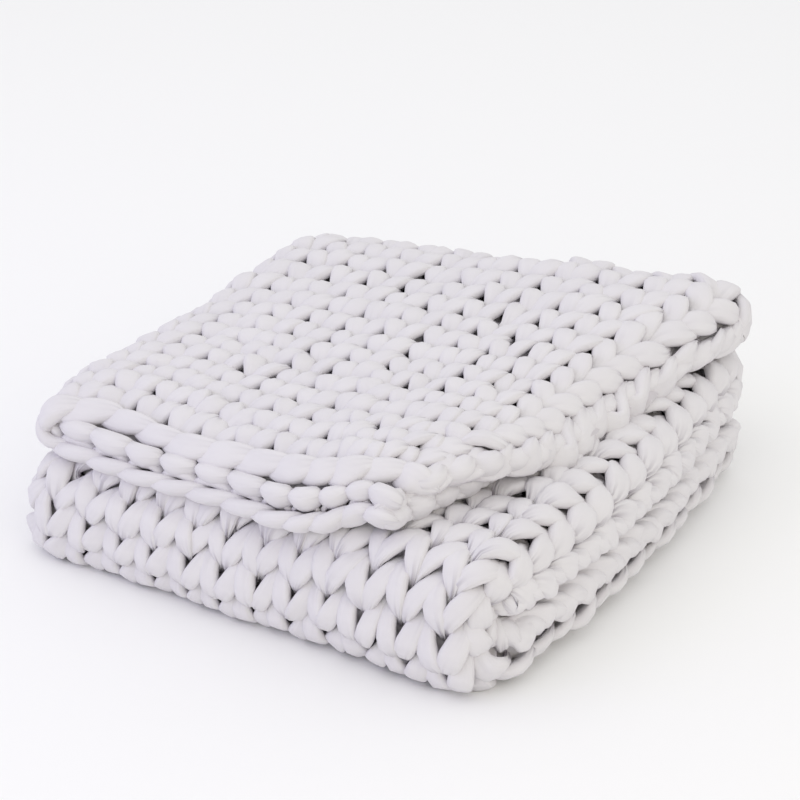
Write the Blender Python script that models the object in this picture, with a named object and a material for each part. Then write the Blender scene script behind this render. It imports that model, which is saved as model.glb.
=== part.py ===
"""Chunky hand-knit weighted blanket, folded up into a pile.

The knitted cloth is one piece. It is first folded in half lengthwise, with the
fold on the left and the two selvedges on the right, so two sheets lie on each
other: the "face" sheet, which is the upper one of the top panel, and the "under"
sheet. That double sheet is then folded crosswise into three panels in a Z: a
bottom panel, a round fold at the front, a middle panel, a round fold at the back,
and a top panel that ends at the front in an open mouth of two lips.

Each sheet's margin curls in over the right side. On the two lower panels it is
the under sheet's margin, on the top panel the face sheet's, and near the mouth
the face sheet's margin uncurls into a free corner.

Axes: X runs along the front edge, Y goes away from the front, Z is up.
All sizes are in metres. The pile rests on Z = 0.
"""
import bpy
import bmesh
from math import cos, exp, pi, radians, sin, sqrt

# Driving dimensions
FOLDED_WIDTH = 0.476          # across the pile, left fold to right side
FOLDED_DEPTH = 0.520          # front fold to back fold
CLOTH = 0.025                 # thickness of one knitted sheet
SHEET_PITCH = 0.0275          # sheet to sheet, so 2.5 mm of air between sheets
PANEL_PITCH = 2 * SHEET_PITCH  # one panel is two sheets
EDGE_ROLL = 0.029             # radius of a curled right margin, at mid cloth
EDGE_DROP = 0.008             # how far the curled margin runs straight after it
BOTTOM_END = 0.465            # the cast-on edge of the bottom panel, from the front

# How the pile settles: share of the even height, at the left and at the right
LOWER_LEFT, LOWER_RIGHT = 0.90, 1.19
UPPER_FRONT, UPPER_BACK = 0.93, 1.16
TOP_EDGE_THIN = 0.30          # share of height that the top panel loses at its right side

# How far it bulges and leans
FRONT_FOOT = 0.031            # the front fold stands further out at its foot
RIGHT_FOOT = 0.012            # so does the right side
LEFT_FOOT = 0.012             # and the left fold
FOOT_POWER = 1.5              # how quickly the foot dies out with height
SIDE_BULGE = 0.024            # right side swells outward at mid depth
TOP_BULGE_LOSS = 0.7          # share of that swelling the top panel lacks
LEFT_BULGE = 0.006            # the lower panels stand out on the left at the front
LEFT_BULGE_BACK = 0.4         # share of it left at the back
BACK_SKEW = 0.052             # back fold reaches further on the right
SKEW_PIVOT = 0.55             # share of the width where it doesn't move
TOP_SET_IN = 0.046            # the top panel's right side stands in from the lower ones
SET_IN_GAIN = 1.2             # and stands out again by a little at the back
CORNER_SET_IN = 0.034         # further in at its front corner
TOP_LEFT_OUT = 0.007          # the top panel's left fold stands out a little
BACK_RISE = 0.004             # the right end of the back fold is thrown up
BACK_DIP = 0.007              # beside a shallow dip in its ridge
DIP_PLACE, DIP_SPREAD = 0.78, 0.09
SURFACE_WAVE = 0.003          # height of the slow hollows in the top panel
WAVES_ACROSS, WAVE_START = 1.3, 0.2
WAVES_DEEP, WAVE_TURN = 1.1, -0.1

# Zones where an effect goes from none to full, as shares of the width or of the depth
RIGHT_ZONE = (0.60, 0.95)
LEFT_ZONE = (0.25, 0.00)
FRONT_ZONE = (0.20, 0.00)
THIN_ZONE = (0.78, 1.06)
SET_IN_ZONE = (0.52, 1.02)
SET_OUT_ZONE = (0.45, 1.00)
CORNER_ZONE = (0.30, 0.00)
RISE_ZONE = (0.72, 0.97)
RISE_DEPTH = (0.70, 0.95)
TOP_PANEL_ZONE = (-0.012, 0.018)     # height over the crease under the top panel, in metres

# Front mouth of the top panel
MOUTH_ROLL = 0.16             # the face margin is nearly uncurled at the mouth
UNROLL_REACH = 0.170          # and curled to the full this far back
CORNER_SAG = 0.014            # its free corner hangs over the under sheet's edge
CORNER_SAG_DEPTH = (0.170, 0.070)
CORNER_SAG_ZONE = (-0.012, 0.038)    # past the under sheet's selvedge, in metres
UNDER_SAG = 0.018             # the under sheet's lip droops over the front fold
SAG_REACH = 0.070             # how far back that droop starts
SAG_LEAST = 0.12              # share of the droop left at its lifted right end
SAG_LIFT_ZONE = (0.74, 0.85)
SAG_SIDE_ZONE = (FOLDED_WIDTH - 0.04, FOLDED_WIDTH - 0.09)
LIP_WAVE = 0.005              # in and out waviness of both lips
LIP_WAVES, LIP_WAVE_START = 2.6, 0.1
LIP_WAVE_DEPTH = (0.10, 0.00)

# Distance of the top panel's front edge from the front, along the sheet's width.
# Each row: name, place across the cloth from 0 (face selvedge) to 1 (under selvedge),
# distance of the edge.
LIP_PLACES = (
    ("face selvedge", 0.00, 0.058),
    ("face corner", 0.12, 0.036),
    ("face middle", 0.28, 0.030),
    ("face left", 0.43, 0.050),
    ("left fold", 0.52, 0.026),
    ("under left", 0.58, 0.024),
    ("under middle", 0.80, 0.010),
    ("under selvedge", 1.00, 0.022),
)

# Steps of the mesh along each stretch
STEPS_MARGIN, STEPS_FLAT, STEPS_TURN = 6, 9, 8
STEPS_BOTTOM, STEPS_FOLD, STEPS_MIDDLE, STEPS_TOP = 6, 10, 6, 10
EDGE_STEPS = (0.0, 0.16, 0.5, 1.0)   # where the rounded edges of the cloth are cut
EDGE_LEAST = 0.45                    # thickness share at the very edge
CREASE_ANGLE = 50                    # degrees past which shading is not smoothed

# Sizes that follow from those above
HALF_CLOTH = CLOTH / 2
HALF_PITCH = SHEET_PITCH / 2
BOTTOM_LEVEL = HALF_PITCH + HALF_CLOTH           # middle of the bottom panel
FRONT_AXIS = BOTTOM_LEVEL + SHEET_PITCH          # height of the front fold's axis
MIDDLE_LEVEL = BOTTOM_LEVEL + PANEL_PITCH        # middle of the middle panel
BACK_AXIS = MIDDLE_LEVEL + SHEET_PITCH           # height of the back fold's axis
TOP_LEVEL = MIDDLE_LEVEL + PANEL_PITCH           # middle of the top panel
FOLD_REACH = SHEET_PITCH + HALF_PITCH + HALF_CLOTH   # outside radius of a crosswise fold
FRONT_CENTRE = FOLD_REACH                        # Y of the front fold's axis
BACK_CENTRE = FOLDED_DEPTH - FOLD_REACH          # Y of the back fold's axis
TURN_CENTRE = HALF_PITCH + HALF_CLOTH            # X of the left fold's axis
FLAT_RUN = FOLDED_WIDTH - HALF_CLOTH - EDGE_ROLL - TURN_CENTRE
SELVEDGE = TURN_CENTRE + FLAT_RUN + EDGE_DROP    # X of an uncurled selvedge


def smooth(t):
    """A soft step from 0 to 1."""
    t = min(max(t, 0.0), 1.0)
    return t * t * (3 - 2 * t)


def fade(value, zone):
    """A soft step from 0 at the zone's first number to 1 at its second."""
    return smooth((value - zone[0]) / (zone[1] - zone[0]))


def spread(start, end, steps):
    """Even places from start to end, without the last."""
    return [start + (end - start) * i / steps for i in range(steps)]


def edge_thickness(place, length):
    """Half the cloth's thickness, less near an edge so the edge is rounded."""
    near = min(place, length - place, HALF_CLOTH) / HALF_CLOTH
    return HALF_CLOTH * (EDGE_LEAST + (1 - EDGE_LEAST) * sqrt(near * (2 - near)))


# The cross-section is the cloth's mid line in X and N, where N is the height above the
# middle of the double sheet.
def margin_rolls(stretch, t):
    """Angles by which the face margin and the under margin are curled."""
    change = {"back": t, "top": 1.0}.get(stretch, 0.0)
    face = pi / 2 * smooth(2 * change - 1)
    under = pi / 2 * smooth(1 - 2 * change)
    if stretch == "top":
        from_mouth = (1 - t) * BACK_CENTRE
        face *= MOUTH_ROLL + (1 - MOUTH_ROLL) * smooth(from_mouth / UNROLL_REACH)
    return face, under


def side_length(roll):
    """Length of one sheet, from the left fold to its selvedge."""
    return FLAT_RUN + EDGE_ROLL * roll + EDGE_DROP


def side_point(run, roll):
    """X, how far curled towards the other sheet, and the angle curled, at a run."""
    if run <= FLAT_RUN:
        return TURN_CENTRE + run, 0.0, 0.0
    angle = min((run - FLAT_RUN) / EDGE_ROLL, roll)
    past = run - FLAT_RUN - EDGE_ROLL * angle
    x = TURN_CENTRE + FLAT_RUN + EDGE_ROLL * sin(angle) + past * cos(angle)
    inward = EDGE_ROLL * (1 - cos(angle)) + past * sin(angle)
    return x, inward, angle


def section_length(rolls):
    """Length of the whole cross-section."""
    return side_length(rolls[0]) + HALF_PITCH * pi + side_length(rolls[1])


def section_point(place, rolls):
    """Mid-line point and outward normal (x, n, normal x, normal n) at a length."""
    face = side_length(rolls[0])
    past_fold = place - face - HALF_PITCH * pi
    if place < face:
        x, inward, angle = side_point(face - place, rolls[0])
        return x, HALF_PITCH - inward, sin(angle), cos(angle)
    if past_fold > 0:
        x, inward, angle = side_point(past_fold, rolls[1])
        return x, inward - HALF_PITCH, sin(angle), -cos(angle)
    angle = (place - face) / HALF_PITCH
    x = TURN_CENTRE - HALF_PITCH * sin(angle)
    return x, HALF_PITCH * cos(angle), -sin(angle), cos(angle)


def section_places(rolls):
    """Lengths along the cross-section where the mesh has a line, the same number always."""
    side_marks = [HALF_CLOTH * share for share in EDGE_STEPS]
    lines = []
    for roll in rolls:
        margin = side_length(roll) - FLAT_RUN
        past = spread(side_marks[-1], margin, STEPS_MARGIN)[1:]
        flat = spread(margin, margin + FLAT_RUN, STEPS_FLAT)
        lines.append(side_marks + past + flat)
    face = side_length(rolls[0])
    turn = spread(face, face + HALF_PITCH * pi, STEPS_TURN)
    whole = section_length(rolls)
    under = [whole - place for place in reversed(lines[1])]
    return lines[0] + turn + [face + HALF_PITCH * pi] + under


def lip_distance(share):
    """How far the top panel's front edge is from the front, at a place across."""
    for (_name, s0, d0), (_next, s1, d1) in zip(LIP_PLACES, LIP_PLACES[1:]):
        if share <= s1:
            return d0 + (d1 - d0) * smooth((share - s0) / (s1 - s0))
    return LIP_PLACES[-1][2]


# The way along the cloth: bottom panel, front fold, middle panel, back fold, top panel.
def way_stations():
    """(stretch, share) pairs along the cloth where the mesh has a line."""
    edge = [HALF_CLOTH * share for share in EDGE_STEPS]
    bottom = BOTTOM_END - FRONT_CENTRE
    top = BACK_CENTRE
    stations = [("bottom", e / bottom) for e in edge]
    stations += [("bottom", t) for t in spread(0, 1, STEPS_BOTTOM)[1:]]
    stations += [("front", t) for t in spread(0, 1, STEPS_FOLD)]
    stations += [("middle", t) for t in spread(0, 1, STEPS_MIDDLE)]
    stations += [("back", t) for t in spread(0, 1, STEPS_FOLD)]
    stations += [("top", t) for t in spread(0, 1, STEPS_TOP)]
    stations += [("top", 1 - e / top) for e in reversed(edge)]
    return stations


def way_point(stretch, t, n, lip):
    """Y and Z of the cloth at a share of a stretch, for a height n in the double sheet."""
    if stretch == "bottom":
        return BOTTOM_END + (FRONT_CENTRE - BOTTOM_END) * t, BOTTOM_LEVEL + n
    if stretch == "front":
        radius = SHEET_PITCH - n
        return FRONT_CENTRE - radius * sin(pi * t), FRONT_AXIS - radius * cos(pi * t)
    if stretch == "middle":
        return FRONT_CENTRE + (BACK_CENTRE - FRONT_CENTRE) * t, MIDDLE_LEVEL - n
    if stretch == "back":
        radius = SHEET_PITCH + n
        return BACK_CENTRE + radius * sin(pi * t), BACK_AXIS - radius * cos(pi * t)
    return BACK_CENTRE + (lip - BACK_CENTRE) * t, TOP_LEVEL + n


def lip_sag(x, y):
    """How far the under sheet's lip droops; it lifts again near its right end."""
    reach = max(0.0, (SAG_REACH - y) / SAG_REACH)
    lift = 1 - fade(x / FOLDED_WIDTH, SAG_LIFT_ZONE)
    return UNDER_SAG * reach * reach * (SAG_LEAST + (1 - SAG_LEAST) * lift)


def corner_sag(x, y):
    """How far the face sheet's free corner hangs down beyond the under selvedge."""
    return CORNER_SAG * fade(x - SELVEDGE, CORNER_SAG_ZONE) * fade(y, CORNER_SAG_DEPTH)


def settle(x, y, z):
    """The pile's own weight and a hand's work: uneven height, bulges and set-in top."""
    across = x / FOLDED_WIDTH
    deep = y / FOLDED_DEPTH
    mid_depth = sin(pi * min(max(deep, 0.0), 1.0))
    into_top = max(0.0, z - BACK_AXIS)
    top_share = fade(z - BACK_AXIS, TOP_PANEL_ZONE)
    foot = max(0.0, 1 - z / PANEL_PITCH) ** FOOT_POWER
    right = fade(across, RIGHT_ZONE)
    left = fade(across, LEFT_ZONE)
    front = fade(deep, FRONT_ZONE)
    back = smooth(deep)

    lower = LOWER_LEFT + (LOWER_RIGHT - LOWER_LEFT) * smooth(across)
    upper = UPPER_FRONT + (UPPER_BACK - UPPER_FRONT) * back
    upper *= 1 - TOP_EDGE_THIN * fade(across, THIN_ZONE)
    along_x = sin(2 * pi * (WAVES_ACROSS * across + WAVE_START))
    along_y = cos(2 * pi * (WAVES_DEEP * deep + WAVE_TURN))
    upper += SURFACE_WAVE * along_x * along_y / PANEL_PITCH
    height = min(z, BACK_AXIS) * lower + into_top * upper
    thrown = top_share * fade(deep, RISE_DEPTH)
    height += BACK_RISE * thrown * fade(across, RISE_ZONE)
    height -= BACK_DIP * thrown * exp(-((across - DIP_PLACE) / DIP_SPREAD) ** 2)

    set_in = TOP_SET_IN * (1 - SET_IN_GAIN * fade(deep, SET_OUT_ZONE))
    set_in += CORNER_SET_IN * fade(deep, CORNER_ZONE)
    x_out = x - set_in * top_share * fade(across, SET_IN_ZONE)
    swell = SIDE_BULGE * mid_depth * (1 - TOP_BULGE_LOSS * top_share)
    x_out += right * (swell + RIGHT_FOOT * foot)
    left_swell = LEFT_BULGE_BACK + (1 - LEFT_BULGE_BACK) * front
    x_out -= left * (LEFT_BULGE * (1 - top_share) * left_swell + LEFT_FOOT * foot)
    x_out -= left * TOP_LEFT_OUT * top_share * (1 - back)

    lip_wave = sin(2 * pi * (LIP_WAVES * across + LIP_WAVE_START))
    y_out = y + BACK_SKEW * (across - SKEW_PIVOT) * back - FRONT_FOOT * foot * front
    y_out += LIP_WAVE * lip_wave * fade(y, LIP_WAVE_DEPTH) * top_share
    return x_out, y_out, height


def cloth_point(stretch, t, place, rolls, offset):
    """A point of the folded cloth, at a distance outward from its mid line."""
    x, n, normal_x, normal_n = section_point(place, rolls)
    x_side = x + normal_x * offset
    n_side = n + normal_n * offset
    lip = lip_distance(place / section_length(rolls))
    y, z = way_point(stretch, t, n_side, lip)
    if stretch == "top":
        under = smooth((HALF_PITCH - n) / SHEET_PITCH) * fade(x, SAG_SIDE_ZONE)
        z -= under * lip_sag(x_side, y) + (1 - under) * corner_sag(x_side, y)
    return settle(x_side, y, z)


def edge_share(stretch, t):
    """Share of the cloth's thickness, less near the cast-on and bind-off edges."""
    if stretch == "bottom":
        near = t * (BOTTOM_END - FRONT_CENTRE)
    elif stretch == "top":
        near = (1 - t) * BACK_CENTRE
    else:
        near = HALF_CLOTH
    return edge_thickness(min(near, HALF_CLOTH), 1.0) / HALF_CLOTH


def knitted_cloth():
    """The folded cloth as one closed mesh."""
    mesh = bmesh.new()
    rows = []
    for stretch, t in way_stations():
        rolls = margin_rolls(stretch, t)
        places = section_places(rolls)
        length = section_length(rolls)
        thin = edge_share(stretch, t)
        row = []
        for side in (1, -1):
            line = []
            for place in places:
                offset = side * edge_thickness(place, length) * thin
                line.append(mesh.verts.new(cloth_point(stretch, t, place, rolls, offset)))
            row.append(line)
        rows.append(row)
    count = len(places)
    for (out_a, in_a), (out_b, in_b) in zip(rows, rows[1:]):
        for i in range(count - 1):
            mesh.faces.new((out_a[i], out_a[i + 1], out_b[i + 1], out_b[i]))
            mesh.faces.new((in_a[i], in_b[i], in_b[i + 1], in_a[i + 1]))
        mesh.faces.new((out_a[0], out_b[0], in_b[0], in_a[0]))
        mesh.faces.new((out_a[-1], in_a[-1], in_b[-1], out_b[-1]))
    for (outer, inner), first in ((rows[0], True), (rows[-1], False)):
        for i in range(count - 1):
            corners = (outer[i], inner[i], inner[i + 1], outer[i + 1])
            mesh.faces.new(corners if first else corners[::-1])
    bmesh.ops.triangulate(mesh, faces=mesh.faces[:])
    bmesh.ops.recalc_face_normals(mesh, faces=mesh.faces[:])
    return mesh


def centre_on_base(mesh):
    """Move the mesh so that its box is centred on the origin and stands on Z = 0."""
    xs = [v.co.x for v in mesh.verts]
    ys = [v.co.y for v in mesh.verts]
    lowest = min(v.co.z for v in mesh.verts)
    shift = (-(min(xs) + max(xs)) / 2, -(min(ys) + max(ys)) / 2, -lowest)
    bmesh.ops.translate(mesh, verts=mesh.verts[:], vec=shift)


def yarn_material():
    """Pale lilac-grey cotton jersey."""
    material = bpy.data.materials.new("cotton jersey yarn")
    material.use_nodes = True
    shader = material.node_tree.nodes["Principled BSDF"]
    shader.inputs["Base Color"].default_value = (0.78, 0.76, 0.79, 1.0)
    shader.inputs["Roughness"].default_value = 0.85
    shader.inputs["Metallic"].default_value = 0.0
    return material


def build():
    """Clear the scene and make the blanket."""
    for leftover in list(bpy.data.objects):
        bpy.data.objects.remove(leftover, do_unlink=True)
    mesh = knitted_cloth()
    centre_on_base(mesh)
    data = bpy.data.meshes.new("knitted_blanket")
    mesh.to_mesh(data)
    mesh.free()
    data.shade_smooth()
    data.set_sharp_from_angle(angle=radians(CREASE_ANGLE))
    data.materials.append(yarn_material())
    blanket = bpy.data.objects.new("knitted_blanket", data)
    bpy.context.scene.collection.objects.link(blanket)


build()
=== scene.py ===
"""The look of the folded hand-knit blanket: its yarn, laid stitch by stitch on the fold.

Every stitch is a loop of tube yarn in sheet coordinates (wale, row, height over the
sheet's middle). The fold functions below are those of the solid, so the yarn takes
the solid's shape: folded in half on the left, then in a Z.
"""

from math import cos, pi, radians, sin

import bpy
import numpy as np
from mathutils import Matrix, Vector


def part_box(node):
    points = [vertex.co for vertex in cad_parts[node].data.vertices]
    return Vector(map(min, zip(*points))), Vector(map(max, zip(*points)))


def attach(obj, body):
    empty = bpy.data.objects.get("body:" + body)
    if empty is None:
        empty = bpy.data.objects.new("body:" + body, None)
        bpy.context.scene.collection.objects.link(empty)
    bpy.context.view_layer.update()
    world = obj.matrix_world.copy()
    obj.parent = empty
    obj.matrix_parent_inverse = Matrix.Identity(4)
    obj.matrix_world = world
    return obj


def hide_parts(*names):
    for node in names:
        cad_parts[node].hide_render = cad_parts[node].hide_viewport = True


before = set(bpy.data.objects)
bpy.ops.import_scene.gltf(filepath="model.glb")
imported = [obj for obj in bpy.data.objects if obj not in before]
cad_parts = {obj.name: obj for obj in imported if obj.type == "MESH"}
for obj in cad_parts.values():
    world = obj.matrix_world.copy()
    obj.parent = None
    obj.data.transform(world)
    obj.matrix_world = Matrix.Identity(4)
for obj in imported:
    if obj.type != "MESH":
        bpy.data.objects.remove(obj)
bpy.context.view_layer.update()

# ---------------------------------------------------------------- the fold, in metres
# The solid's own sizes: X runs along the front, Y goes away from it, Z is up
FOLDED_WIDTH = 0.476          # across the pile, left fold to right side
FOLDED_DEPTH = 0.520          # front fold to back fold
CLOTH = 0.025                 # thickness of one knitted sheet
SHEET_PITCH = 0.0275          # sheet to sheet
PANEL_PITCH = 2 * SHEET_PITCH  # one panel is two sheets
EDGE_ROLL = 0.029             # radius of a curled right margin, at mid cloth
EDGE_DROP = 0.008             # how far the curled margin runs straight after it
BOTTOM_END = 0.465            # the cast-on edge of the bottom panel, from the front

# How the pile settles: share of the even height, for the two lower panels at the left and
# the right, and for the top panel at the front and the back
LOWER_LEFT, LOWER_RIGHT = 0.90, 1.19
UPPER_FRONT, UPPER_BACK = 0.93, 1.16
TOP_EDGE_THIN = 0.30          # share of height that the top panel loses at its right side

# How far it bulges and leans
FRONT_FOOT = 0.031            # the front fold stands further out at its foot
RIGHT_FOOT = 0.012            # so does the right side
LEFT_FOOT = 0.012             # and the left fold
FOOT_POWER = 1.5              # how quickly the foot dies out with height
SIDE_BULGE = 0.024            # right side swells outward at mid depth
TOP_BULGE_LOSS = 0.7          # share of that swelling the top panel lacks
LEFT_BULGE = 0.006            # the lower panels stand out on the left at the front
LEFT_BULGE_BACK = 0.4         # share of it left at the back
BACK_SKEW = 0.052             # back fold reaches further on the right
SKEW_PIVOT = 0.55             # share of the width where it doesn't move
TOP_SET_IN = 0.046            # the top panel's right side stands in from the lower ones
SET_IN_GAIN = 1.2             # and stands out again by a little at the back
CORNER_SET_IN = 0.034         # further in at its front corner
TOP_LEFT_OUT = 0.007          # the top panel's left fold stands out a little
BACK_RISE = 0.004             # the right end of the back fold is thrown up
BACK_DIP = 0.007              # beside a shallow dip in its ridge
DIP_PLACE, DIP_SPREAD = 0.78, 0.09
SURFACE_WAVE = 0.003          # height of the slow hollows in the top panel
WAVES_ACROSS, WAVE_START = 1.3, 0.2
WAVES_DEEP, WAVE_TURN = 1.1, -0.1

# Zones where an effect goes from none to full, as shares of the width or of the depth
RIGHT_ZONE = (0.60, 0.95)
LEFT_ZONE = (0.25, 0.00)
FRONT_ZONE = (0.20, 0.00)
THIN_ZONE = (0.78, 1.06)
SET_IN_ZONE = (0.52, 1.02)
SET_OUT_ZONE = (0.45, 1.00)
CORNER_ZONE = (0.30, 0.00)
RISE_ZONE = (0.72, 0.97)
RISE_DEPTH = (0.70, 0.95)
TOP_PANEL_ZONE = (-0.012, 0.018)     # height over the crease under the top panel, in metres

# Front mouth of the top panel
MOUTH_ROLL = 0.16             # the face margin is nearly uncurled at the mouth
UNROLL_REACH = 0.170          # and curled to the full this far back
CORNER_SAG = 0.014            # its free corner hangs over the under sheet's edge
CORNER_SAG_DEPTH = (0.170, 0.070)
CORNER_SAG_ZONE = (-0.012, 0.038)    # past the under sheet's selvedge, in metres
UNDER_SAG = 0.018             # the under sheet's lip droops over the front fold
SAG_REACH = 0.070             # how far back that droop starts
SAG_LEAST = 0.12              # share of the droop left at its lifted right end
SAG_LIFT_ZONE = (0.74, 0.85)
SAG_SIDE_ZONE = (FOLDED_WIDTH - 0.04, FOLDED_WIDTH - 0.09)
LIP_WAVE = 0.005              # in and out waviness of both lips
LIP_WAVES, LIP_WAVE_START = 2.6, 0.1
LIP_WAVE_DEPTH = (0.10, 0.00)

# Distance of the top panel's front edge from the front, along the sheet's width.
# Each row: name, place across the cloth from 0 (face selvedge) to 1 (under selvedge),
# distance of the edge.
LIP_PLACES = (
    ("face selvedge", 0.00, 0.058),
    ("face corner", 0.12, 0.036),
    ("face middle", 0.28, 0.030),
    ("face left", 0.43, 0.050),
    ("left fold", 0.52, 0.026),
    ("under left", 0.58, 0.024),
    ("under middle", 0.80, 0.010),
    ("under selvedge", 1.00, 0.022),
)

# The five stretches of the cloth, from the cast-on edge to the lips
BOTTOM, FRONT_FOLD, MIDDLE, BACK_FOLD, TOP = range(5)

# Sizes that follow from those above
HALF_CLOTH = CLOTH / 2
HALF_PITCH = SHEET_PITCH / 2
BOTTOM_LEVEL = HALF_PITCH + HALF_CLOTH           # middle of the bottom panel
FRONT_AXIS = BOTTOM_LEVEL + SHEET_PITCH          # height of the front fold's axis
MIDDLE_LEVEL = BOTTOM_LEVEL + PANEL_PITCH        # middle of the middle panel
BACK_AXIS = MIDDLE_LEVEL + SHEET_PITCH           # height of the back fold's axis
TOP_LEVEL = MIDDLE_LEVEL + PANEL_PITCH           # middle of the top panel
FOLD_REACH = SHEET_PITCH + HALF_PITCH + HALF_CLOTH   # a fold's axis to its outside
FRONT_CENTRE = FOLD_REACH                        # where the front fold's axis lies
BACK_CENTRE = FOLDED_DEPTH - FOLD_REACH          # where the back fold's axis lies
TURN_CENTRE = HALF_PITCH + HALF_CLOTH            # where the left fold's axis lies
FLAT_RUN = FOLDED_WIDTH - HALF_CLOTH - EDGE_ROLL - TURN_CENTRE
SELVEDGE = TURN_CENTRE + FLAT_RUN + EDGE_DROP    # where an uncurled margin ends

# ---------------------------------------------------------------- the knit
WALES = 24                    # wales across the whole cloth
TURN_WALES = 2.0              # those that go round the left fold
SHEET_WALES = 11.0            # those in each sheet of the top panel, besides the fold's
WALE = 0.0380                 # even width of a wale
ROW = 0.0300                  # even height of a row
# How the knit changes along the cloth. Each row: name, length from the cast-on edge,
# row height, lean of the loops in wales, slip of the wales sideways in wales, thickness
# of the yarn as a share, wales of the face sheet (the under sheet has the others)
ALONG_CLOTH = (
    ("bottom", 0.00, 0.0310, 0.00, 0.00, 1.00, 10.2),
    ("before front fold", 0.38, 0.0285, 0.05, -0.25, 0.97, 9.5),
    ("front fold", 0.42, 0.0266, 0.05, -0.20, 0.97, 9.2),
    ("after front fold", 0.54, 0.0285, 0.06, 0.25, 0.96, 9.2),
    ("middle", 0.66, 0.0310, 0.00, 0.00, 1.00, 9.8),
    ("before back fold", 0.85, 0.0310, 0.00, 0.00, 1.00, 10.8),
    ("back fold", 0.95, 0.0310, 0.00, 0.00, 1.03, SHEET_WALES),
    ("top back", 1.10, 0.0380, 0.00, 0.00, 1.03, SHEET_WALES),
    ("top middle", 1.25, 0.0285, 0.00, 0.00, 0.99, SHEET_WALES),
    ("top front", 1.45, 0.0236, 0.00, 0.00, 1.00, SHEET_WALES),
)
LENGTH_AT, ROW_HEIGHT, LEAN, SLIP, THICKNESS, FACE_WALES = range(1, 7)   # its columns
SLIP_FADE = 3.0               # wales over which the slip fades out at the selvedge
TOP_RUN = 0.436               # nominal length of the top panel
BLEND_WALES = 3.6             # wales over which the rows slip between the two sheets
LENGTH_SAMPLES = 2001         # lengths at which the rows are counted
BOX_SAMPLES = (260, 480)      # places across and along where the fold's box is measured
LEAST_RADIUS = 0.0005         # nearest a loop comes to a fold's axis
FIRST_ROW = 0.9               # middle of the first row, in rows from the cast-on edge
FIRST_TUCK, LAST_TUCK = 0.25, 0.44   # rows by which the end loops stay behind the chains

# Sizes of a stitch, in wales
LOOP_HEIGHT = 0.82            # half the loop's height
LOOP_SWING = 0.27             # how far a leg leans
LIFT = 0.05                   # the whole loop stands this far out
LOOP_DEPTH = 0.225            # legs stand out and heads stand back by this
SHINGLE = 0.10                # a leg's lower end stands out and its upper end sinks by this
LEG_RADIUS, HEAD_RADIUS = 0.268, 0.255
UPPER_BEND, LOWER_BEND = 0.205, 0.125    # radius where the yarn is pinched in a bend
BEND_POWER = 1.2              # how short the bends are
NECK_STEP = 0.72              # how quickly the upper bend's thickness gives way to the lower's

# The yarn's section
FLATTEN = 0.50                # the yarn is flat across the sheet
BOX_WIDE, BOX_TALL = 0.82, 0.55      # powers that square its round section
PINCH_LOBES, PINCH_DEPTH, PINCH_PHASE = 6, 0.28, 1.0    # pleats round it in a bend
LUMP = 0.035                  # how far its thickness wanders, as a share
LUMP_WAVES = ((1.7, 0.37), (3.1, 0.71))   # waves for each wale, and for each row
PAINTED_SHADE_HEIGHTS = (0.0000, 0.0045)    # heights off the sheet's middle where it lies in the dark: painted shade is full at the first and gone at the second
NORMAL_STEP = 0.002           # step off the sheet that tells which way is out
SWELL_RANGE = (0.55, 1.40)    # how far it thins or swells to fill the cloth's stretch
SWELL_HEIGHT = 0.011          # height off the sheet's middle where the stretch is measured
SWELL_WIDE, SWELL_TALL = 0.75, -0.40      # powers of the stretch across and along
CROWDED, SWELL_CROWDED = 0.75, 0.7   # shorter rows than this share crush the yarn

# How uneven the stitches are: shares of their own size, but wales for across, along and
# lean, and radians for twist. The order is that of the random draws
UNEVENNESS = {
    "swing": 0.15,
    "height": 0.05,
    "depth": 0.18,
    "across": 0.040,
    "along": 0.035,
    "thick": 0.06,
    "lean": 0.05,
    "twist": 0.16,
}
SEED = 7
JITTER_MARGIN = 3             # stitches by which the random values go past the cloth's edges

# Where stitches are made finely, because they can be seen
FINE = (28, 14)               # steps in a stitch and sides round its yarn
PLAIN = (16, 8)               # and where they can't
FINE_TURN = 2.2               # wales on each side of the left fold's middle
FINE_BEFORE_TOP = 0.16        # face sheet, from this far before the top panel
FINE_PAST_FRONT = 0.24        # under sheet, until this far past the bottom panel
FINE_LIP = 0.14               # under sheet, along its lip
FINE_UNDER_SELVEDGE = 4       # wales at the under selvedge, below the top panel
FINE_FACE_SELVEDGE = 3        # wales at the face selvedge, above the bottom panel
BANDS = 7                     # pieces that the rows are made in

# Strands of the edge chains, in wales across and out of the edge.
# Each row: name, length in links, side at its start, side at its end, how far out
# at its start, its middle and its end, radius, flatness, how pointed its ends are, how
# far its flat side is turned from out of the edge to the sheet's outer side
EDGE_STRANDS = (
    ("outer", 1.85, 0.26, 0.00, -0.12, 0.10, -0.05, 0.330, 0.58, 0.60, 0.90),
    ("inner", 1.06, -0.36, -0.40, -0.22, -0.07, -0.22, 0.285, 0.80, 0.20, 0.20),
)
SELVEDGE_STRANDS = (
    ("outer", 1.16, 0.20, 0.06, -0.06, 0.12, 0.00, 0.320, 0.84, 0.26, 0.40),
    ("inner", 1.40, -0.26, -0.16, -0.20, 0.00, -0.20, 0.250, 0.80, 0.50, -0.40),
)
STRAND_WOBBLE = 0.06          # how uneven their lengths and radii are, as a share
STRAND_TIP = 0.02             # least radius at their ends, as a share
STRAND_PLEATS, PLEAT_POWER = 0.35, 0.8    # how far their ends are pleated, and how shortly
STRAND_FINE = (22, 14)        # steps along a strand and sides round it
STRAND_PLAIN = (16, 10)       # and where it can't be seen
LINK_WALES, LINK_ROWS = 1.0, 1.0     # length of a link, along a lip and along a selvedge
LIP_DROOP = 0.010             # the face sheet's lip bends down, in metres
LIP_DROOP_DEPTH = (0.060, 0.000)     # from this far behind the lip
CORE_SET_IN, CORE_REACH = 0.020, 0.08     # the face selvedge draws in at the front fold's core
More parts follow.
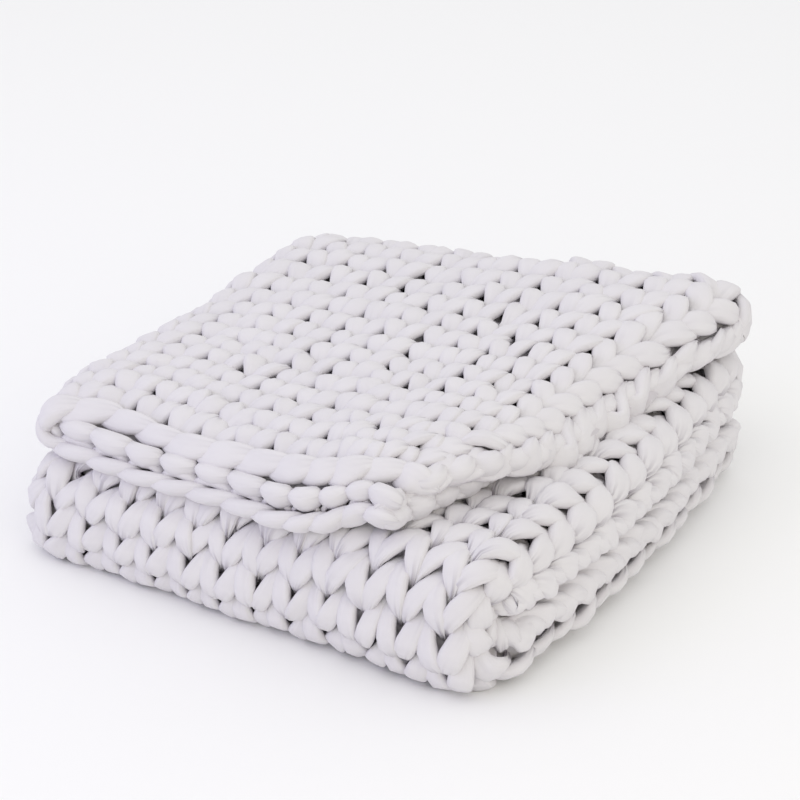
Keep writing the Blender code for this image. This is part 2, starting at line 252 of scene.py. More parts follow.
TURN_PULL, TURN_SPREAD = 0.6, 1.0    # inner strands come nearer the sheet at the left fold
TURN_EYE = 0.6                # the left fold's eye is open this far, in wales
END_REACH = 0.30              # strands stick out this far past the free corners, in links
FOLD_GAP = 0.14               # selvedge strands leave off past this share of a fold's run
EDGE_SET_BACK = 0.20          # the lips' chains lie this far inside the edge, in rows
SELVEDGE_SET_BACK = 0.32      # and the selvedges' chains, in wales


def smooth(t):
    """A soft step from 0 to 1."""
    t = np.clip(t, 0.0, 1.0)
    return t * t * (3 - 2 * t)


def fade(value, zone):
    """A soft step from 0 at the zone's first number to 1 at its second."""
    return smooth((value - zone[0]) / (zone[1] - zone[0]))


def side_length(roll):
    """Length of one sheet, from the left fold to its selvedge."""
    return FLAT_RUN + EDGE_ROLL * roll + EDGE_DROP


def side_point(run, roll):
    """X, how far curled towards the other sheet, and the angle curled, at a run."""
    angle = np.clip((run - FLAT_RUN) / EDGE_ROLL, 0.0, roll)
    past = run - FLAT_RUN - EDGE_ROLL * angle
    x = TURN_CENTRE + FLAT_RUN + EDGE_ROLL * np.sin(angle) + past * np.cos(angle)
    inward = EDGE_ROLL * (1 - np.cos(angle)) + past * np.sin(angle)
    return x, inward, angle


def stretch_of(length, n_row):
    """Which of the five stretches a length along the cloth is in, and the share of it."""
    runs = (
        BOTTOM_END - FRONT_CENTRE + 0 * n_row,
        pi * (SHEET_PITCH - n_row),
        BACK_CENTRE - FRONT_CENTRE + 0 * n_row,
        pi * (SHEET_PITCH + n_row),
        TOP_RUN + 0 * n_row,
    )
    stretch = np.zeros(length.shape, int)
    share = length / runs[0]
    start = runs[0]
    for k in range(FRONT_FOLD, TOP + 1):
        past = length > start
        stretch = np.where(past, k, stretch)
        share = np.where(past, (length - start) / runs[k], share)
        start = start + runs[k]
    return stretch, share


def rolls_of(stretch, t):
    """Angles by which the face margin and the under margin are curled."""
    change = np.where(stretch == TOP, 1.0, np.where(stretch == BACK_FOLD, t, 0.0))
    face = pi / 2 * smooth(2 * change - 1)
    under = pi / 2 * smooth(1 - 2 * change)
    uncurl = MOUTH_ROLL + (1 - MOUTH_ROLL) * smooth((1 - t) * BACK_CENTRE / UNROLL_REACH)
    return np.where(stretch == TOP, face * uncurl, face), under


def place_of(wale, face, under, sheet):
    """Length along the cross-section at a wale; sheet is how many the face sheet has."""
    turn = HALF_PITCH * pi
    on_face = face * wale / sheet
    on_turn = face + turn * (wale - sheet) / TURN_WALES
    on_under = face + turn + under * (1 - (WALES - wale) / (WALES - TURN_WALES - sheet))
    first = wale < sheet
    last = wale > sheet + TURN_WALES
    return np.where(first, on_face, np.where(last, on_under, on_turn))


def section_point(place, face, under, roll_face, roll_under):
    """Mid-line point and outward normal (x, n, normal x, normal n) at a length."""
    past_fold = place - face - HALF_PITCH * pi
    x1, in1, a1 = side_point(face - place, roll_face)
    x2, in2, a2 = side_point(past_fold, roll_under)
    turn = np.clip((place - face) / HALF_PITCH, 0.0, pi)
    on_face = place < face
    on_under = past_fold > 0

    def pick(one, two, three):
        return np.where(on_face, one, np.where(on_under, two, three))

    x = pick(x1, x2, TURN_CENTRE - HALF_PITCH * np.sin(turn))
    n = pick(HALF_PITCH - in1, in2 - HALF_PITCH, HALF_PITCH * np.cos(turn))
    normal_x = pick(np.sin(a1), np.sin(a2), -np.sin(turn))
    normal_n = pick(np.cos(a1), -np.cos(a2), np.cos(turn))
    return x, n, normal_x, normal_n


def lip_distance(share):
    """How far the top panel's front edge is from the front, at a place across."""
    found = np.full(share.shape, LIP_PLACES[-1][2])
    for (_name, s0, d0), (_next, s1, d1) in reversed(list(zip(LIP_PLACES, LIP_PLACES[1:]))):
        here = d0 + (d1 - d0) * smooth((share - s0) / (s1 - s0))
        found = np.where(share <= s1, here, found)
    return found


def way_point(stretch, t, n, lip):
    """Y and Z of the cloth at a share of a stretch, for a height n in the double sheet."""
    front = np.maximum(SHEET_PITCH - n, LEAST_RADIUS)
    back = np.maximum(SHEET_PITCH + n, LEAST_RADIUS)
    sine, cosine = np.sin(pi * t), np.cos(pi * t)
    places = {
        BOTTOM: (BOTTOM_END + (FRONT_CENTRE - BOTTOM_END) * t, BOTTOM_LEVEL + n),
        FRONT_FOLD: (FRONT_CENTRE - front * sine, FRONT_AXIS - front * cosine),
        MIDDLE: (FRONT_CENTRE + (BACK_CENTRE - FRONT_CENTRE) * t, MIDDLE_LEVEL - n),
        BACK_FOLD: (BACK_CENTRE + back * sine, BACK_AXIS - back * cosine),
        TOP: (BACK_CENTRE + (lip - BACK_CENTRE) * t, TOP_LEVEL + n),
    }
    which = [stretch == k for k in places]
    y = np.select(which, [place[0] for place in places.values()])
    z = np.select(which, [place[1] for place in places.values()])
    return y, z


def lip_sag(x, y):
    """How far the under sheet's lip droops; it lifts again near its right end."""
    reach = np.maximum(0.0, (SAG_REACH - y) / SAG_REACH)
    lift = 1 - fade(x / FOLDED_WIDTH, SAG_LIFT_ZONE)
    return UNDER_SAG * reach * reach * (SAG_LEAST + (1 - SAG_LEAST) * lift)


def corner_sag(x, y):
    """How far the face sheet's free corner hangs down beyond the under selvedge."""
    return CORNER_SAG * fade(x - SELVEDGE, CORNER_SAG_ZONE) * fade(y, CORNER_SAG_DEPTH)


def settle(x, y, z, level):
    """The pile's own weight and a hand's work: uneven height, bulges and set-in top.

    level is the height of the sheet's middle, which says what share the top panel has.
    """
    across = x / FOLDED_WIDTH
    deep = y / FOLDED_DEPTH
    mid_depth = np.sin(pi * np.clip(deep, 0.0, 1.0))
    into_top = np.maximum(0.0, z - BACK_AXIS)
    top_share = fade(level - BACK_AXIS, TOP_PANEL_ZONE)
    foot = np.maximum(0.0, 1 - z / PANEL_PITCH) ** FOOT_POWER
    right = fade(across, RIGHT_ZONE)
    left = fade(across, LEFT_ZONE)
    front = fade(deep, FRONT_ZONE)
    back = smooth(deep)

    lower = LOWER_LEFT + (LOWER_RIGHT - LOWER_LEFT) * smooth(across)
    upper = UPPER_FRONT + (UPPER_BACK - UPPER_FRONT) * back
    upper = upper * (1 - TOP_EDGE_THIN * fade(across, THIN_ZONE))
    along_x = np.sin(2 * pi * (WAVES_ACROSS * across + WAVE_START))
    along_y = np.cos(2 * pi * (WAVES_DEEP * deep + WAVE_TURN))
    upper = upper + SURFACE_WAVE * along_x * along_y / PANEL_PITCH
    height = np.minimum(z, BACK_AXIS) * lower + into_top * upper
    thrown = top_share * fade(deep, RISE_DEPTH)
    height = height + BACK_RISE * thrown * fade(across, RISE_ZONE)
    height = height - BACK_DIP * thrown * np.exp(-(((across - DIP_PLACE) / DIP_SPREAD) ** 2))

    set_in = TOP_SET_IN * (1 - SET_IN_GAIN * fade(deep, SET_OUT_ZONE))
    set_in = set_in + CORNER_SET_IN * fade(deep, CORNER_ZONE)
    x_out = x - set_in * top_share * fade(across, SET_IN_ZONE)
    swell = SIDE_BULGE * mid_depth * (1 - TOP_BULGE_LOSS * top_share)
    x_out = x_out + right * (swell + RIGHT_FOOT * foot)
    left_swell = LEFT_BULGE_BACK + (1 - LEFT_BULGE_BACK) * front
    x_out = x_out - left * (LEFT_BULGE * (1 - top_share) * left_swell + LEFT_FOOT * foot)
    x_out = x_out - left * TOP_LEFT_OUT * top_share * (1 - back)

    lip_wave = np.sin(2 * pi * (LIP_WAVES * across + LIP_WAVE_START))
    y_out = y + BACK_SKEW * (across - SKEW_PIVOT) * back - FRONT_FOOT * foot * front
    y_out = y_out + LIP_WAVE * lip_wave * fade(y, LIP_WAVE_DEPTH) * top_share
    return x_out, y_out, height


def along_cloth(length, column):
    """A column of the ALONG_CLOTH table at lengths along the cloth."""
    marks = [row[LENGTH_AT] for row in ALONG_CLOTH]
    return np.interp(length, marks, [row[column] for row in ALONG_CLOTH])


def row_lengths():
    """Table of length along the cloth against row number, and the number of rows."""
    fold_run = 2 * pi * SHEET_PITCH
    whole = BOTTOM_END - FRONT_CENTRE + fold_run + BACK_CENTRE - FRONT_CENTRE + TOP_RUN
    length = np.linspace(0.0, whole, LENGTH_SAMPLES)
    density = 1 / along_cloth(length, ROW_HEIGHT)
    steps = (density[1:] + density[:-1]) / 2 * np.diff(length)
    rows = np.concatenate([[0.0], np.cumsum(steps)])
    count = round(rows[-1])
    return length, rows * count / rows[-1], count


LENGTHS, ROWS_AT, ROWS = row_lengths()


def fold(wale, row, height):
    """Points of the folded cloth, in the fold's own axes, from sheet coordinates.

    height is that over the sheet's middle, towards the outside of the doubled cloth.
    """
    length = np.interp(row, ROWS_AT, LENGTHS)
    length = length + np.minimum(row, 0.0) * ROW + np.maximum(row - ROWS, 0.0) * ROW
    sheet = along_cloth(length, FACE_WALES)
    middle = sheet + TURN_WALES / 2
    n_row = HALF_PITCH * np.sin(pi / 2 * np.clip((middle - wale) / BLEND_WALES, -1.0, 1.0))
    stretch, t = stretch_of(length, n_row)
    roll_face, roll_under = rolls_of(stretch, t)
    face = side_length(roll_face)
    under = side_length(roll_under)
    place = place_of(wale, face, under, sheet)
    x, n, normal_x, normal_n = section_point(place, face, under, roll_face, roll_under)
    x_side = x + normal_x * height
    n_side = n + normal_n * height
    whole = face + HALF_PITCH * pi + under
    lip = lip_distance(place / whole)
    _y, level = way_point(stretch, t, n, lip)
    y, z = way_point(stretch, t, n_side, lip)
    under_share = smooth((HALF_PITCH - n) / SHEET_PITCH)
    core = (1 - under_share) * np.sin(pi * t) * (stretch == FRONT_FOLD)
    x_side = x_side - CORE_SET_IN * core * fade(x, (SELVEDGE - CORE_REACH, SELVEDGE))
    droop = (1 - under_share) * LIP_DROOP * fade(y - lip, LIP_DROOP_DEPTH)
    share = under_share * fade(x, SAG_SIDE_ZONE)
    sag = share * lip_sag(x_side, y) + (1 - share) * corner_sag(x_side, y) + droop
    z = np.where(stretch == TOP, z - sag, z)
    return np.stack(settle(x_side, y, z, level), axis=-1)


def middle_of_fold():
    """Middle of the folded cloth's box in the fold's own axes."""
    across, along = BOX_SAMPLES
    wale, row = np.meshgrid(np.linspace(0, WALES, across), np.linspace(0, ROWS, along))
    sides = [fold(wale, row, height).reshape(-1, 3) for height in (HALF_CLOTH, -HALF_CLOTH)]
    both = np.concatenate(sides)
    return (both.min(0) + both.max(0)) / 2


low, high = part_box("knitted_blanket")
MOVE = np.array([*((low + high) / 2)]) - middle_of_fold()    # the fold's axes to the frame
MOVE[2] = 0.0


# ---------------------------------------------------------------- yarn
RANDOM = np.random.default_rng(SEED)
JITTER_SPARE = 2 * JITTER_MARGIN + 2
JITTER = {
    name: RANDOM.standard_normal((ROWS + JITTER_SPARE, WALES + JITTER_SPARE))
    for name in UNEVENNESS
}


def uneven(name, row, wale):
    """How far each stitch of a row is off the even one, carried smoothly along the row."""
    table = JITTER[name][row + JITTER_MARGIN]
    at = np.clip(wale + JITTER_MARGIN, 0.0, WALES + 2.0 * JITTER_MARGIN)
    before = at.astype(int)
    mix = smooth(at - before)
    return UNEVENNESS[name] * (table[before] * (1 - mix) + table[before + 1] * mix)


def unit(vectors):
    """The vectors at length one."""
    return vectors / np.linalg.norm(vectors, axis=-1)[..., None]


def swell_of(wale, row):
    """How much thicker than even the yarn is where the cloth is pulled wide or crowded."""
    def point(at_wale, at_row):
        return fold(at_wale, at_row, np.full(np.shape(wale), SWELL_HEIGHT))

    wide = np.linalg.norm(point(wale + 0.5, row) - point(wale - 0.5, row), axis=-1) / WALE
    tall = np.linalg.norm(point(wale, row + 0.5) - point(wale, row - 0.5), axis=-1) / ROW
    crush = np.minimum(tall / CROWDED, 1.0) ** SWELL_CROWDED
    short = np.minimum(tall, 1.0) ** SWELL_TALL
    return np.clip(wide ** SWELL_WIDE * short * crush, *SWELL_RANGE)


def squared(value, power):
    """The value to a power, its sign kept."""
    return np.sign(value) * np.abs(value) ** power


def tube(line, up, radius, flat, bend, level, sides):
    """A tube of yarn round a line: its points, painted shade and pinch values, and its length.

    up is the way its flat side faces, level the line's height off the cloth's middle.
    """
    along = unit(np.gradient(line, axis=0))
    up = unit(up - (up * along).sum(1)[:, None] * along)
    aside = np.cross(along, up)
    angle = np.linspace(0, 2 * pi, sides, endpoint=False)
    waves = 1 + np.cos(PINCH_LOBES * angle + PINCH_PHASE)
    lobes = 1 - PINCH_DEPTH * bend[:, None] * waves[None, :] / 2
    wide = radius[:, None] * lobes * squared(np.cos(angle), BOX_WIDE)[None, :]
    tall = radius[:, None] * flat * lobes * squared(np.sin(angle), BOX_TALL)[None, :]
    points = line[:, None, :] + wide[..., None] * aside[:, None, :]
    points = points + tall[..., None] * up[:, None, :]
    points[..., 2] = np.maximum(points[..., 2], 0.0)
    # painted shade: share by which the colour is darkened where the yarn lies near the sheet's
    # middle
    painted_shade = 1 - fade(np.abs(level[:, None] + tall), PAINTED_SHADE_HEIGHTS)
    steps = np.linalg.norm(np.diff(line, axis=0), axis=1)
    length = np.concatenate([[0.0], np.cumsum(steps)])
    return points + MOVE, painted_shade, np.repeat(bend[:, None], sides, axis=1), length


def course(row, first, last, steps, sides):
    """The yarn of one row from one wale to another.

    In each wale it goes up one leg, over the head and down the other; turn is the angle
    of that wave.
    """
    at = first + np.arange(round((last - first) * steps) + 1) / steps
    turn = 2 * pi * at - pi
    swing = LOOP_SWING * (1 + uneven("swing", row, at))
    tall = LOOP_HEIGHT * (1 + uneven("height", row, at))
    deep = LOOP_DEPTH * (1 + uneven("depth", row, at))
    tilt = uneven("lean", row, at)
    along = tall * np.cos(turn) + tilt * np.sin(turn) + uneven("along", row, at)
    rows = np.clip(row + FIRST_ROW + along * WALE / ROW, FIRST_TUCK, ROWS - LAST_TUCK)
    length = np.interp(rows, ROWS_AT, LENGTHS)
    lean = along_cloth(np.interp(row + FIRST_ROW, ROWS_AT, LENGTHS), LEAN)
    slip = along_cloth(length, SLIP) * smooth((WALES - at) / SLIP_FADE)
    across = at + swing * np.sin(2 * turn) + lean * np.cos(turn) + slip
    across = across + uneven("across", row, at)
    height = LIFT - deep * np.cos(2 * turn) - SHINGLE * np.cos(turn) * np.sin(turn) ** 2
    leg_share = 0.5 - 0.5 * np.cos(2 * turn)
    bend = (0.5 - 0.5 * np.cos(4 * turn)) ** BEND_POWER
    low_share = np.clip(0.5 - NECK_STEP * np.cos(turn), 0.0, 1.0)
    neck = UPPER_BEND + (LOWER_BEND - UPPER_BEND) * low_share
    body = HEAD_RADIUS + (LEG_RADIUS - HEAD_RADIUS) * leg_share
    radius = body * (1 - bend) + neck * bend
    bend = bend * low_share
    lump = sum(np.sin(2 * pi * (each * at + turned * row)) for each, turned in LUMP_WAVES)
    radius = radius * along_cloth(length, THICKNESS) * swell_of(across, rows)
    radius = radius * (1 + LUMP * lump + uneven("thick", row, at))
    height = height * WALE
    line = fold(across, rows, height)
    up = unit(fold(across, rows, height + NORMAL_STEP) - line)
    aside = np.cross(unit(np.gradient(line, axis=0)), up)
    up = up + uneven("twist", row, at)[:, None] * aside
    return tube(line, up, radius * WALE, FLATTEN, bend, height, sides)


def turn_gap(name, middle):
    """Whether a link of a lip would fill the eye of the left fold."""
    return name == "inner" and abs(middle - WALES / 2) < TURN_EYE


def fold_gap(_name, middle):
    """Whether a link of a selvedge would crowd the axis of a fold."""
    length = np.array([np.interp(middle, ROWS_AT, LENGTHS)])
    stretch, t = stretch_of(length, np.array([-HALF_PITCH]))
    return stretch[0] in (FRONT_FOLD, BACK_FOLD) and FOLD_GAP < t[0] < 1 - FOLD_GAP


def strands(table, end, pitch, place, gap, steps, sides):
    """Strands of an edge chain. place gives (wale, row, height) from along, out and side."""
    tubes = []
    t = np.linspace(0, 1, steps + 1)
    arch = np.sin(pi * t)
    count = round(end / pitch)
    for name, length, side_0, side_1, out_0, out_mid, out_1, *section in table:
        thick, flat, point, turned = section
        for link in range(count):
            longer, thicker, _spare = 1 + STRAND_WOBBLE * RANDOM.standard_normal(3)
            middle = (link + 0.5) * pitch
            if gap(name, middle):
                continue
            to_end = 2 * min(middle, end - middle) / pitch
            reach = min(length * longer, to_end + END_REACH)
            along = middle + pitch * reach * (t - 0.5)
            side = side_0 + (side_1 - side_0) * smooth(t)
            out = out_0 + (out_1 - out_0) * t + (out_mid - (out_0 + out_1) / 2) * arch
            radius = thick * thicker * np.maximum(arch, STRAND_TIP) ** point
            bend = STRAND_PLEATS * (1 - arch ** PLEAT_POWER)
            line = fold(*place(along, out * WALE, side * WALE))
            out_step = out * WALE + NORMAL_STEP
            side_step = side * WALE + NORMAL_STEP * turned
            up = fold(*place(along, out_step, side_step)) - line
            level = np.full(t.shape, WALE)    # so far off the sheet that none of it gets painted shade
            tubes.append(tube(line, up, radius * WALE, flat, bend, level, sides))
    return tubes


def pulled(along, side):
    """A strand's side, less far inside where the sheet turns round the left fold."""
    near = np.exp(-(((along - WALES / 2) / TURN_SPREAD) ** 2))
    return np.where(side < 0, side * (1 - TURN_PULL * near), side)


def bind_off_place(along, out, side):
    """The chain along the bind-off edge; it faces out of the edge."""
    return along, ROWS - EDGE_SET_BACK + out / ROW, pulled(along, side)


def cast_on_place(along, out, side):
    """The chain along the cast-on edge."""
    return along, EDGE_SET_BACK - out / ROW, pulled(along, side)


def face_selvedge_place(along, out, side):
    """The chain along the face sheet's selvedge."""
    return SELVEDGE_SET_BACK - out / WALE, along, side


def under_selvedge_place(along, out, side):
    """The chain along the under sheet's selvedge."""
    return WALES - SELVEDGE_SET_BACK + out / WALE, along, side


def mesh_of(name, tubes):
    """One mesh object from many tubes of rings, each closed at both ends.

    Its UV map runs round the yarn, and along it in metres.
    """
    points = []
    quads = []
    start = 0
    caps = []
    around = []
    values = {"painted_shade": [], "pinch": []}
    for rings, painted_shade, pinch, length in tubes:
        count, sides, _three = rings.shape
        points.append(rings.reshape(-1, 3))
        values["painted_shade"].append(painted_shade.ravel())
        values["pinch"].append(pinch.ravel())
        i = np.arange(count - 1)[:, None] * sides
        j = np.arange(sides)[None, :]
        k = (j + 1) % sides
        quad = np.stack([i + j, i + k, i + sides + k, i + sides + j], axis=-1)
        quads.append(quad.reshape(-1, 4) + start)
        here = np.broadcast_to(j / sides, (count - 1, sides))
        low_v = np.broadcast_to(length[:-1, None], here.shape)
        high_v = np.broadcast_to(length[1:, None], here.shape)
        corner = np.stack([here, low_v, here + 1 / sides, low_v,
                           here + 1 / sides, high_v, here, high_v], axis=-1)
        around.append(corner.reshape(-1))
        caps.append(list(range(start + sides - 1, start - 1, -1)))
        caps.append(list(range(start + (count - 1) * sides, start + count * sides)))
        start += count * sides
    points = np.concatenate(points)
    quads = np.concatenate(quads)
    sizes = np.concatenate([np.full(len(quads), 4), [len(cap) for cap in caps]])
    corners = np.concatenate([quads.ravel(), *caps])
    mesh = bpy.data.meshes.new(name)
    mesh.vertices.add(len(points))
    mesh.vertices.foreach_set("co", points.ravel())
    mesh.loops.add(len(corners))
    mesh.loops.foreach_set("vertex_index", corners)
    mesh.polygons.add(len(sizes))
    mesh.polygons.foreach_set("loop_start", np.cumsum(sizes) - sizes)
    mesh.update(calc_edges=True)
    mesh.shade_smooth()
    uv = np.zeros(2 * len(corners))
    around = np.concatenate(around)
    uv[:len(around)] = around
    mesh.uv_layers.new(name="along_yarn").data.foreach_set("uv", uv)
    for kind, parts in values.items():
        layer = mesh.attributes.new(kind, "FLOAT", "POINT")
        layer.data.foreach_set("value", np.concatenate(parts))
    piece = bpy.data.objects.new(name, mesh)
    bpy.context.scene.collection.objects.link(piece)
    return piece


def stitch_grade(row, wale):
    """How finely a stitch is made: those that can be seen are fine."""
    length = np.interp(row + 0.5, ROWS_AT, LENGTHS)
    top_start = LENGTHS[-1] - TOP_RUN
    front_start = BOTTOM_END - FRONT_CENTRE
    on_face = wale < SHEET_WALES
    seen = (
        abs(wale + 0.5 - WALES / 2) < FINE_TURN,
        on_face and length > top_start - FINE_BEFORE_TOP,
        not on_face and length < front_start + FINE_PAST_FRONT,
        not on_face and length > LENGTHS[-1] - FINE_LIP,
        wale >= WALES - FINE_UNDER_SELVEDGE and length < top_start,
        wale < FINE_FACE_SELVEDGE and length > front_start,
    )
    return FINE if any(seen) else PLAIN


def course_runs(row):
    """Runs of stitches of one grade: (first wale, last wale, grade)."""
    grades = [stitch_grade(row, wale) for wale in range(WALES)]
    runs = []
    first = 0
    for wale in range(1, WALES + 1):
        if wale == WALES or grades[wale] != grades[first]:
            runs.append((first, wale, grades[first]))
            first = wale
    return runs


def knit_rows(first, last):
    """Tubes of the rows from first up to last; the chain of the lips is the last row."""
    tubes = []
    for row in range(first, min(last, ROWS - 1)):
        for start, end, (steps, sides) in course_runs(row):
            tubes.append(course(row, start, end, steps, sides))
    return tubes


# ---------------------------------------------------------------- materials
YARN_PALE = (0.746, 0.727, 0.746, 1)
YARN_DEEP = (0.722, 0.702, 0.725, 1)
YARN_PAINTED_SHADE = (0.92, 0.90, 0.92, 1)   # painted shade: how far the yarn's colour is darkened deep in the stitches
PLEAT_PAINTED_SHADE = (0.45, 0.42, 0.47, 1)  # and painted shade in its pleats
PAINTED_PLEAT_HEIGHTS = (0.52, 0.36)         # crease heights between which a pleat gets painted shade
YARN_ROUGH = 0.92
BLOTCH_SCALE, BLOTCH_DETAIL = 9.0, 2.0
BLOTCH_RANGE = (0.35, 0.65)   # noise values between which deep yarn turns pale
JERSEY_RIBS = (26, 60.0, 1.0)        # noise for each turn round the yarn and each metre along
RIB_DETAIL, RIB_STRENGTH, RIB_DEPTH = 3.0, 0.25, 0.0006
CREASES = (12.0, 12.0, 1.0)          # the same for its creases
CREASE_DETAIL, CREASE_DEPTH = 1.0, 0.006
MIX_A, MIX_B, MIX_RESULT = 6, 7, 2   # colour sockets of a Mix node


def mesh_value(nodes, name):
    """Socket of a value that the mesh holds at its points."""
    found = nodes.new("ShaderNodeAttribute")
    found.attribute_name = name
    return found.outputs["Fac"]


def stretched_noise(nodes, links, vector, scale, detail):
    """Socket of noise that is stretched by a scale on each axis."""
    spread = nodes.new("ShaderNodeMapping")
    spread.inputs["Scale"].default_value = scale
    links.new(vector, spread.inputs["Vector"])
    noise = nodes.new("ShaderNodeTexNoise")
    noise.inputs["Scale"].default_value = 1.0
    noise.inputs["Detail"].default_value = detail
    links.new(spread.outputs["Vector"], noise.inputs["Vector"])
    return noise.outputs["Fac"]


def shaded(nodes, links, colour, shade, share):
    """Socket of a colour multiplied by a shade, as far as the share says."""
    mix = nodes.new("ShaderNodeMix")
    mix.data_type = "RGBA"
    mix.blend_type = "MULTIPLY"
    mix.inputs[MIX_B].default_value = shade
    links.new(share, mix.inputs["Factor"])
    links.new(colour, mix.inputs[MIX_A])
    return mix.outputs[MIX_RESULT]


def yarn_material():
    """Matte cotton jersey, pale lilac grey, with fine ribs along the yarn, and painted shade
    deep in the stitches and in its pleats.
    """
    material = bpy.data.materials.new("jersey_yarn")
    material.use_nodes = True
    nodes = material.node_tree.nodes
    links = material.node_tree.links
    shader = nodes["Principled BSDF"]
    shader.inputs["Roughness"].default_value = YARN_ROUGH

    blotch = nodes.new("ShaderNodeTexNoise")
    blotch.inputs["Scale"].default_value = BLOTCH_SCALE
    blotch.inputs["Detail"].default_value = BLOTCH_DETAIL
    ramp = nodes.new("ShaderNodeValToRGB")
    stops = zip(ramp.color_ramp.elements, BLOTCH_RANGE, (YARN_DEEP, YARN_PALE))
    for element, position, colour in stops:
        element.position = position
        element.color = colour
    links.new(blotch.outputs["Fac"], ramp.inputs["Fac"])
    # painted shade deep in the stitches, multiplied into the colour
    painted_shade = mesh_value(nodes, "painted_shade")
    colour = shaded(nodes, links, ramp.outputs["Color"], YARN_PAINTED_SHADE, painted_shade)

    along_yarn = nodes.new("ShaderNodeUVMap")
    along_yarn.uv_map = "along_yarn"
    yarn_place = along_yarn.outputs["UV"]
    ribs = stretched_noise(nodes, links, yarn_place, JERSEY_RIBS, RIB_DETAIL)
    creases = stretched_noise(nodes, links, yarn_place, CREASES, CREASE_DETAIL)
    pinch = mesh_value(nodes, "pinch")
    rib_bump = nodes.new("ShaderNodeBump")
    rib_bump.inputs["Strength"].default_value = RIB_STRENGTH
    rib_bump.inputs["Distance"].default_value = RIB_DEPTH
    links.new(ribs, rib_bump.inputs["Height"])
    crease_bump = nodes.new("ShaderNodeBump")
    crease_bump.inputs["Distance"].default_value = CREASE_DEPTH
    links.new(pinch, crease_bump.inputs["Strength"])
    links.new(creases, crease_bump.inputs["Height"])
    links.new(rib_bump.outputs["Normal"], crease_bump.inputs["Normal"])
    links.new(crease_bump.outputs["Normal"], shader.inputs["Normal"])

    # painted shade in the pleats of the yarn's pinched bends, multiplied into the colour
    fold_in = nodes.new("ShaderNodeMapRange")
    fold_in.inputs["From Min"].default_value = PAINTED_PLEAT_HEIGHTS[0]
    fold_in.inputs["From Max"].default_value = PAINTED_PLEAT_HEIGHTS[1]
    links.new(creases, fold_in.inputs["Value"])
    painted_pleat_shade = nodes.new("ShaderNodeMath")
    painted_pleat_shade.operation = "MULTIPLY"
    links.new(fold_in.outputs["Result"], painted_pleat_shade.inputs[0])
    links.new(pinch, painted_pleat_shade.inputs[1])
    colour = shaded(nodes, links, colour, PLEAT_PAINTED_SHADE, painted_pleat_shade.outputs["Value"])
    links.new(colour, shader.inputs["Base Color"])
    return material


yarn = yarn_material()


def dress(name, tubes):
    """Make a piece of yarn and tie it to the record."""
    piece = mesh_of(name, tubes)
    piece.data.materials.append(yarn)
    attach(piece, "root")
    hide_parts("knitted_blanket")


edges_of_bands = [round(ROWS * k / BANDS) for k in range(BANDS + 1)]
for band, (first, last) in enumerate(zip(edges_of_bands, edges_of_bands[1:])):
    dress(f"knit_rows_{band + 1}", knit_rows(first, last))

# Edge chains. Each row: name, place, and steps and sides of a strand
LIP_CHAINS = (
    ("bind_off_chain", bind_off_place, STRAND_FINE),
    ("cast_on_chain", cast_on_place, STRAND_PLAIN),
)
SELVEDGE_CHAINS = (
    ("face_selvedge_chain", face_selvedge_place, STRAND_FINE),
    ("under_selvedge_chain", under_selvedge_place, STRAND_FINE),
)
for name, place, grade in LIP_CHAINS:
    dress(name, strands(EDGE_STRANDS, WALES, LINK_WALES, place, turn_gap, *grade))
for name, place, grade in SELVEDGE_CHAINS:
    dress(name, strands(SELVEDGE_STRANDS, ROWS, LINK_ROWS, place, fold_gap, *grade))


# ---------------------------------------------------------------- floor, light, camera
FLOOR_HALF = 12.0             # half the floor's width, in metres
FLOOR_COLOUR, FLOOR_ROUGH = (0.93, 0.93, 0.93, 1), 0.9
WORLD_COLOUR, WORLD_STRENGTH = (1.0, 1.0, 1.0, 1), 0.885


def floor_material():
    """Plain pale floor."""
    material = bpy.data.materials.new("pale_floor")
    material.use_nodes = True
    shader = material.node_tree.nodes["Principled BSDF"]
    shader.inputs["Base Color"].default_value = FLOOR_COLOUR
    shader.inputs["Roughness"].default_value = FLOOR_ROUGH
    return material


floor_mesh = bpy.data.meshes.new("floor")
corners = [(x * FLOOR_HALF, y * FLOOR_HALF, 0) for x, y in ((-1, -1), (1, -1), (1, 1), (-1, 1))]
floor_mesh.from_pydata(corners, [], [(0, 1, 2, 3)])
floor = bpy.data.objects.new("floor", floor_mesh)
bpy.context.scene.collection.objects.link(floor)
floor_mesh.materials.append(floor_material())

world = bpy.data.worlds.new("studio")
bpy.context.scene.world = world
world.use_nodes = True
background = world.node_tree.nodes["Background"]
background.inputs["Color"].default_value = WORLD_COLOUR
background.inputs["Strength"].default_value = WORLD_STRENGTH

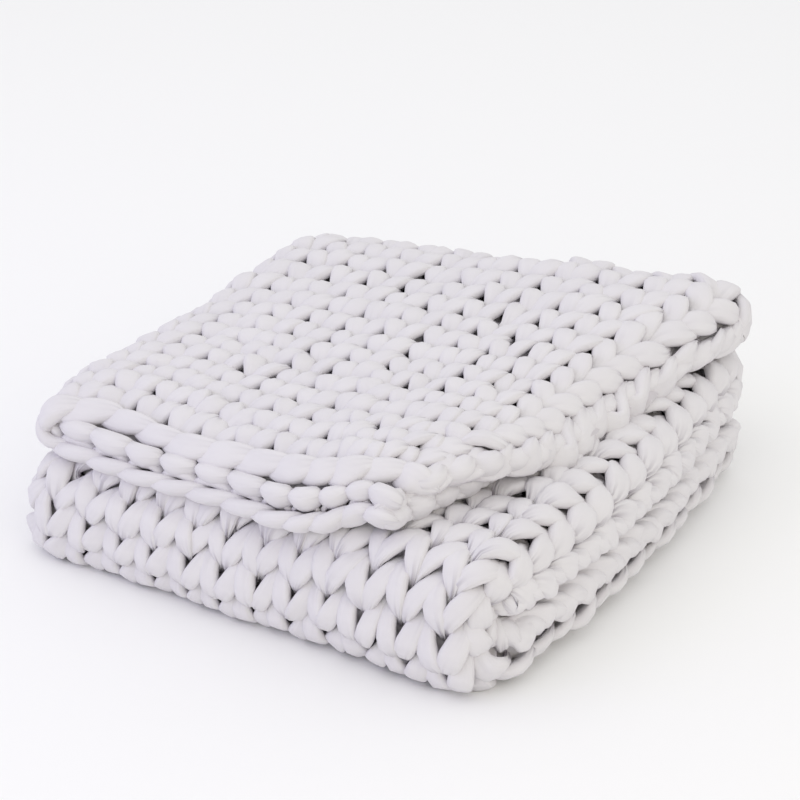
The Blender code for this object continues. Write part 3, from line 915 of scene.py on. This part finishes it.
# Soft boxes. Each row: name, place, the point it faces, size in metres, power in watts, colour
LIGHTS = (
    ("overhead", (-0.2, -0.4, 2.6), (0.0, 0.0, 0.1), 3.6, 11.5, (1.0, 1.0, 1.0)),
    ("left_front", (-1.6, -2.0, 1.4), (0.0, 0.0, 0.1), 1.8, 9.0, (0.40, 0.33, 1.0)),
    ("right", (1.9, -1.2, 1.1), (0.0, 0.0, 0.1), 1.6, 4.4, (1.0, 0.85, 0.42)),
)


def area_light(name, place, aim, size, power, colour):
    """A square soft box."""
    light = bpy.data.lights.new(name, "AREA")
    light.energy = power
    light.size = size
    light.color = colour
    lamp = bpy.data.objects.new(name, light)
    lamp.location = place
    lamp.rotation_euler = (Vector(aim) - Vector(place)).to_track_quat("-Z", "Y").to_euler()
    bpy.context.scene.collection.objects.link(lamp)


for row in LIGHTS:
    area_light(*row)

VIEW_TURN = radians(31.61)    # the camera looks this far to the left of straight back
VIEW_DOWN = radians(27.3)     # and this far down
FOCAL_PIXELS, PHOTO_PIXELS = 2067, 800    # focal length and width of the photo, in pixels
LENS_RATIO = FOCAL_PIXELS / PHOTO_PIXELS
SENSOR = 36                   # width of the camera's sensor, in millimetres
CLIP_END = 100                # farthest that the camera sees, in metres
# A point on the floor by the pile's right-hand front corner, and where the camera stands
# from it: metres to its own right, along its own up, and back from what it looks at
NEAR_CORNER = Vector((0.4894, -0.0207, 0.0)) + Vector(MOVE)
EYE_RIGHT, EYE_UP, EYE_BACK = -0.0662, 0.2650, 1.6535

side = Vector((cos(VIEW_TURN), sin(VIEW_TURN), 0))
ahead_x, ahead_y = -sin(VIEW_TURN) * cos(VIEW_DOWN), cos(VIEW_TURN) * cos(VIEW_DOWN)
ahead = Vector((ahead_x, ahead_y, -sin(VIEW_DOWN)))
upward = side.cross(ahead)
camera_data = bpy.data.cameras.new("camera")
camera_data.sensor_width = SENSOR
camera_data.lens = SENSOR * LENS_RATIO
camera_data.clip_end = CLIP_END
camera = bpy.data.objects.new("camera", camera_data)
turned = Matrix((side, upward, -ahead)).transposed().to_4x4()
turned.translation = NEAR_CORNER + EYE_RIGHT * side + EYE_UP * upward - EYE_BACK * ahead
camera.matrix_world = turned
bpy.context.scene.collection.objects.link(camera)
bpy.context.scene.camera = camera
bpy.context.scene.view_settings.view_transform = "Standard"
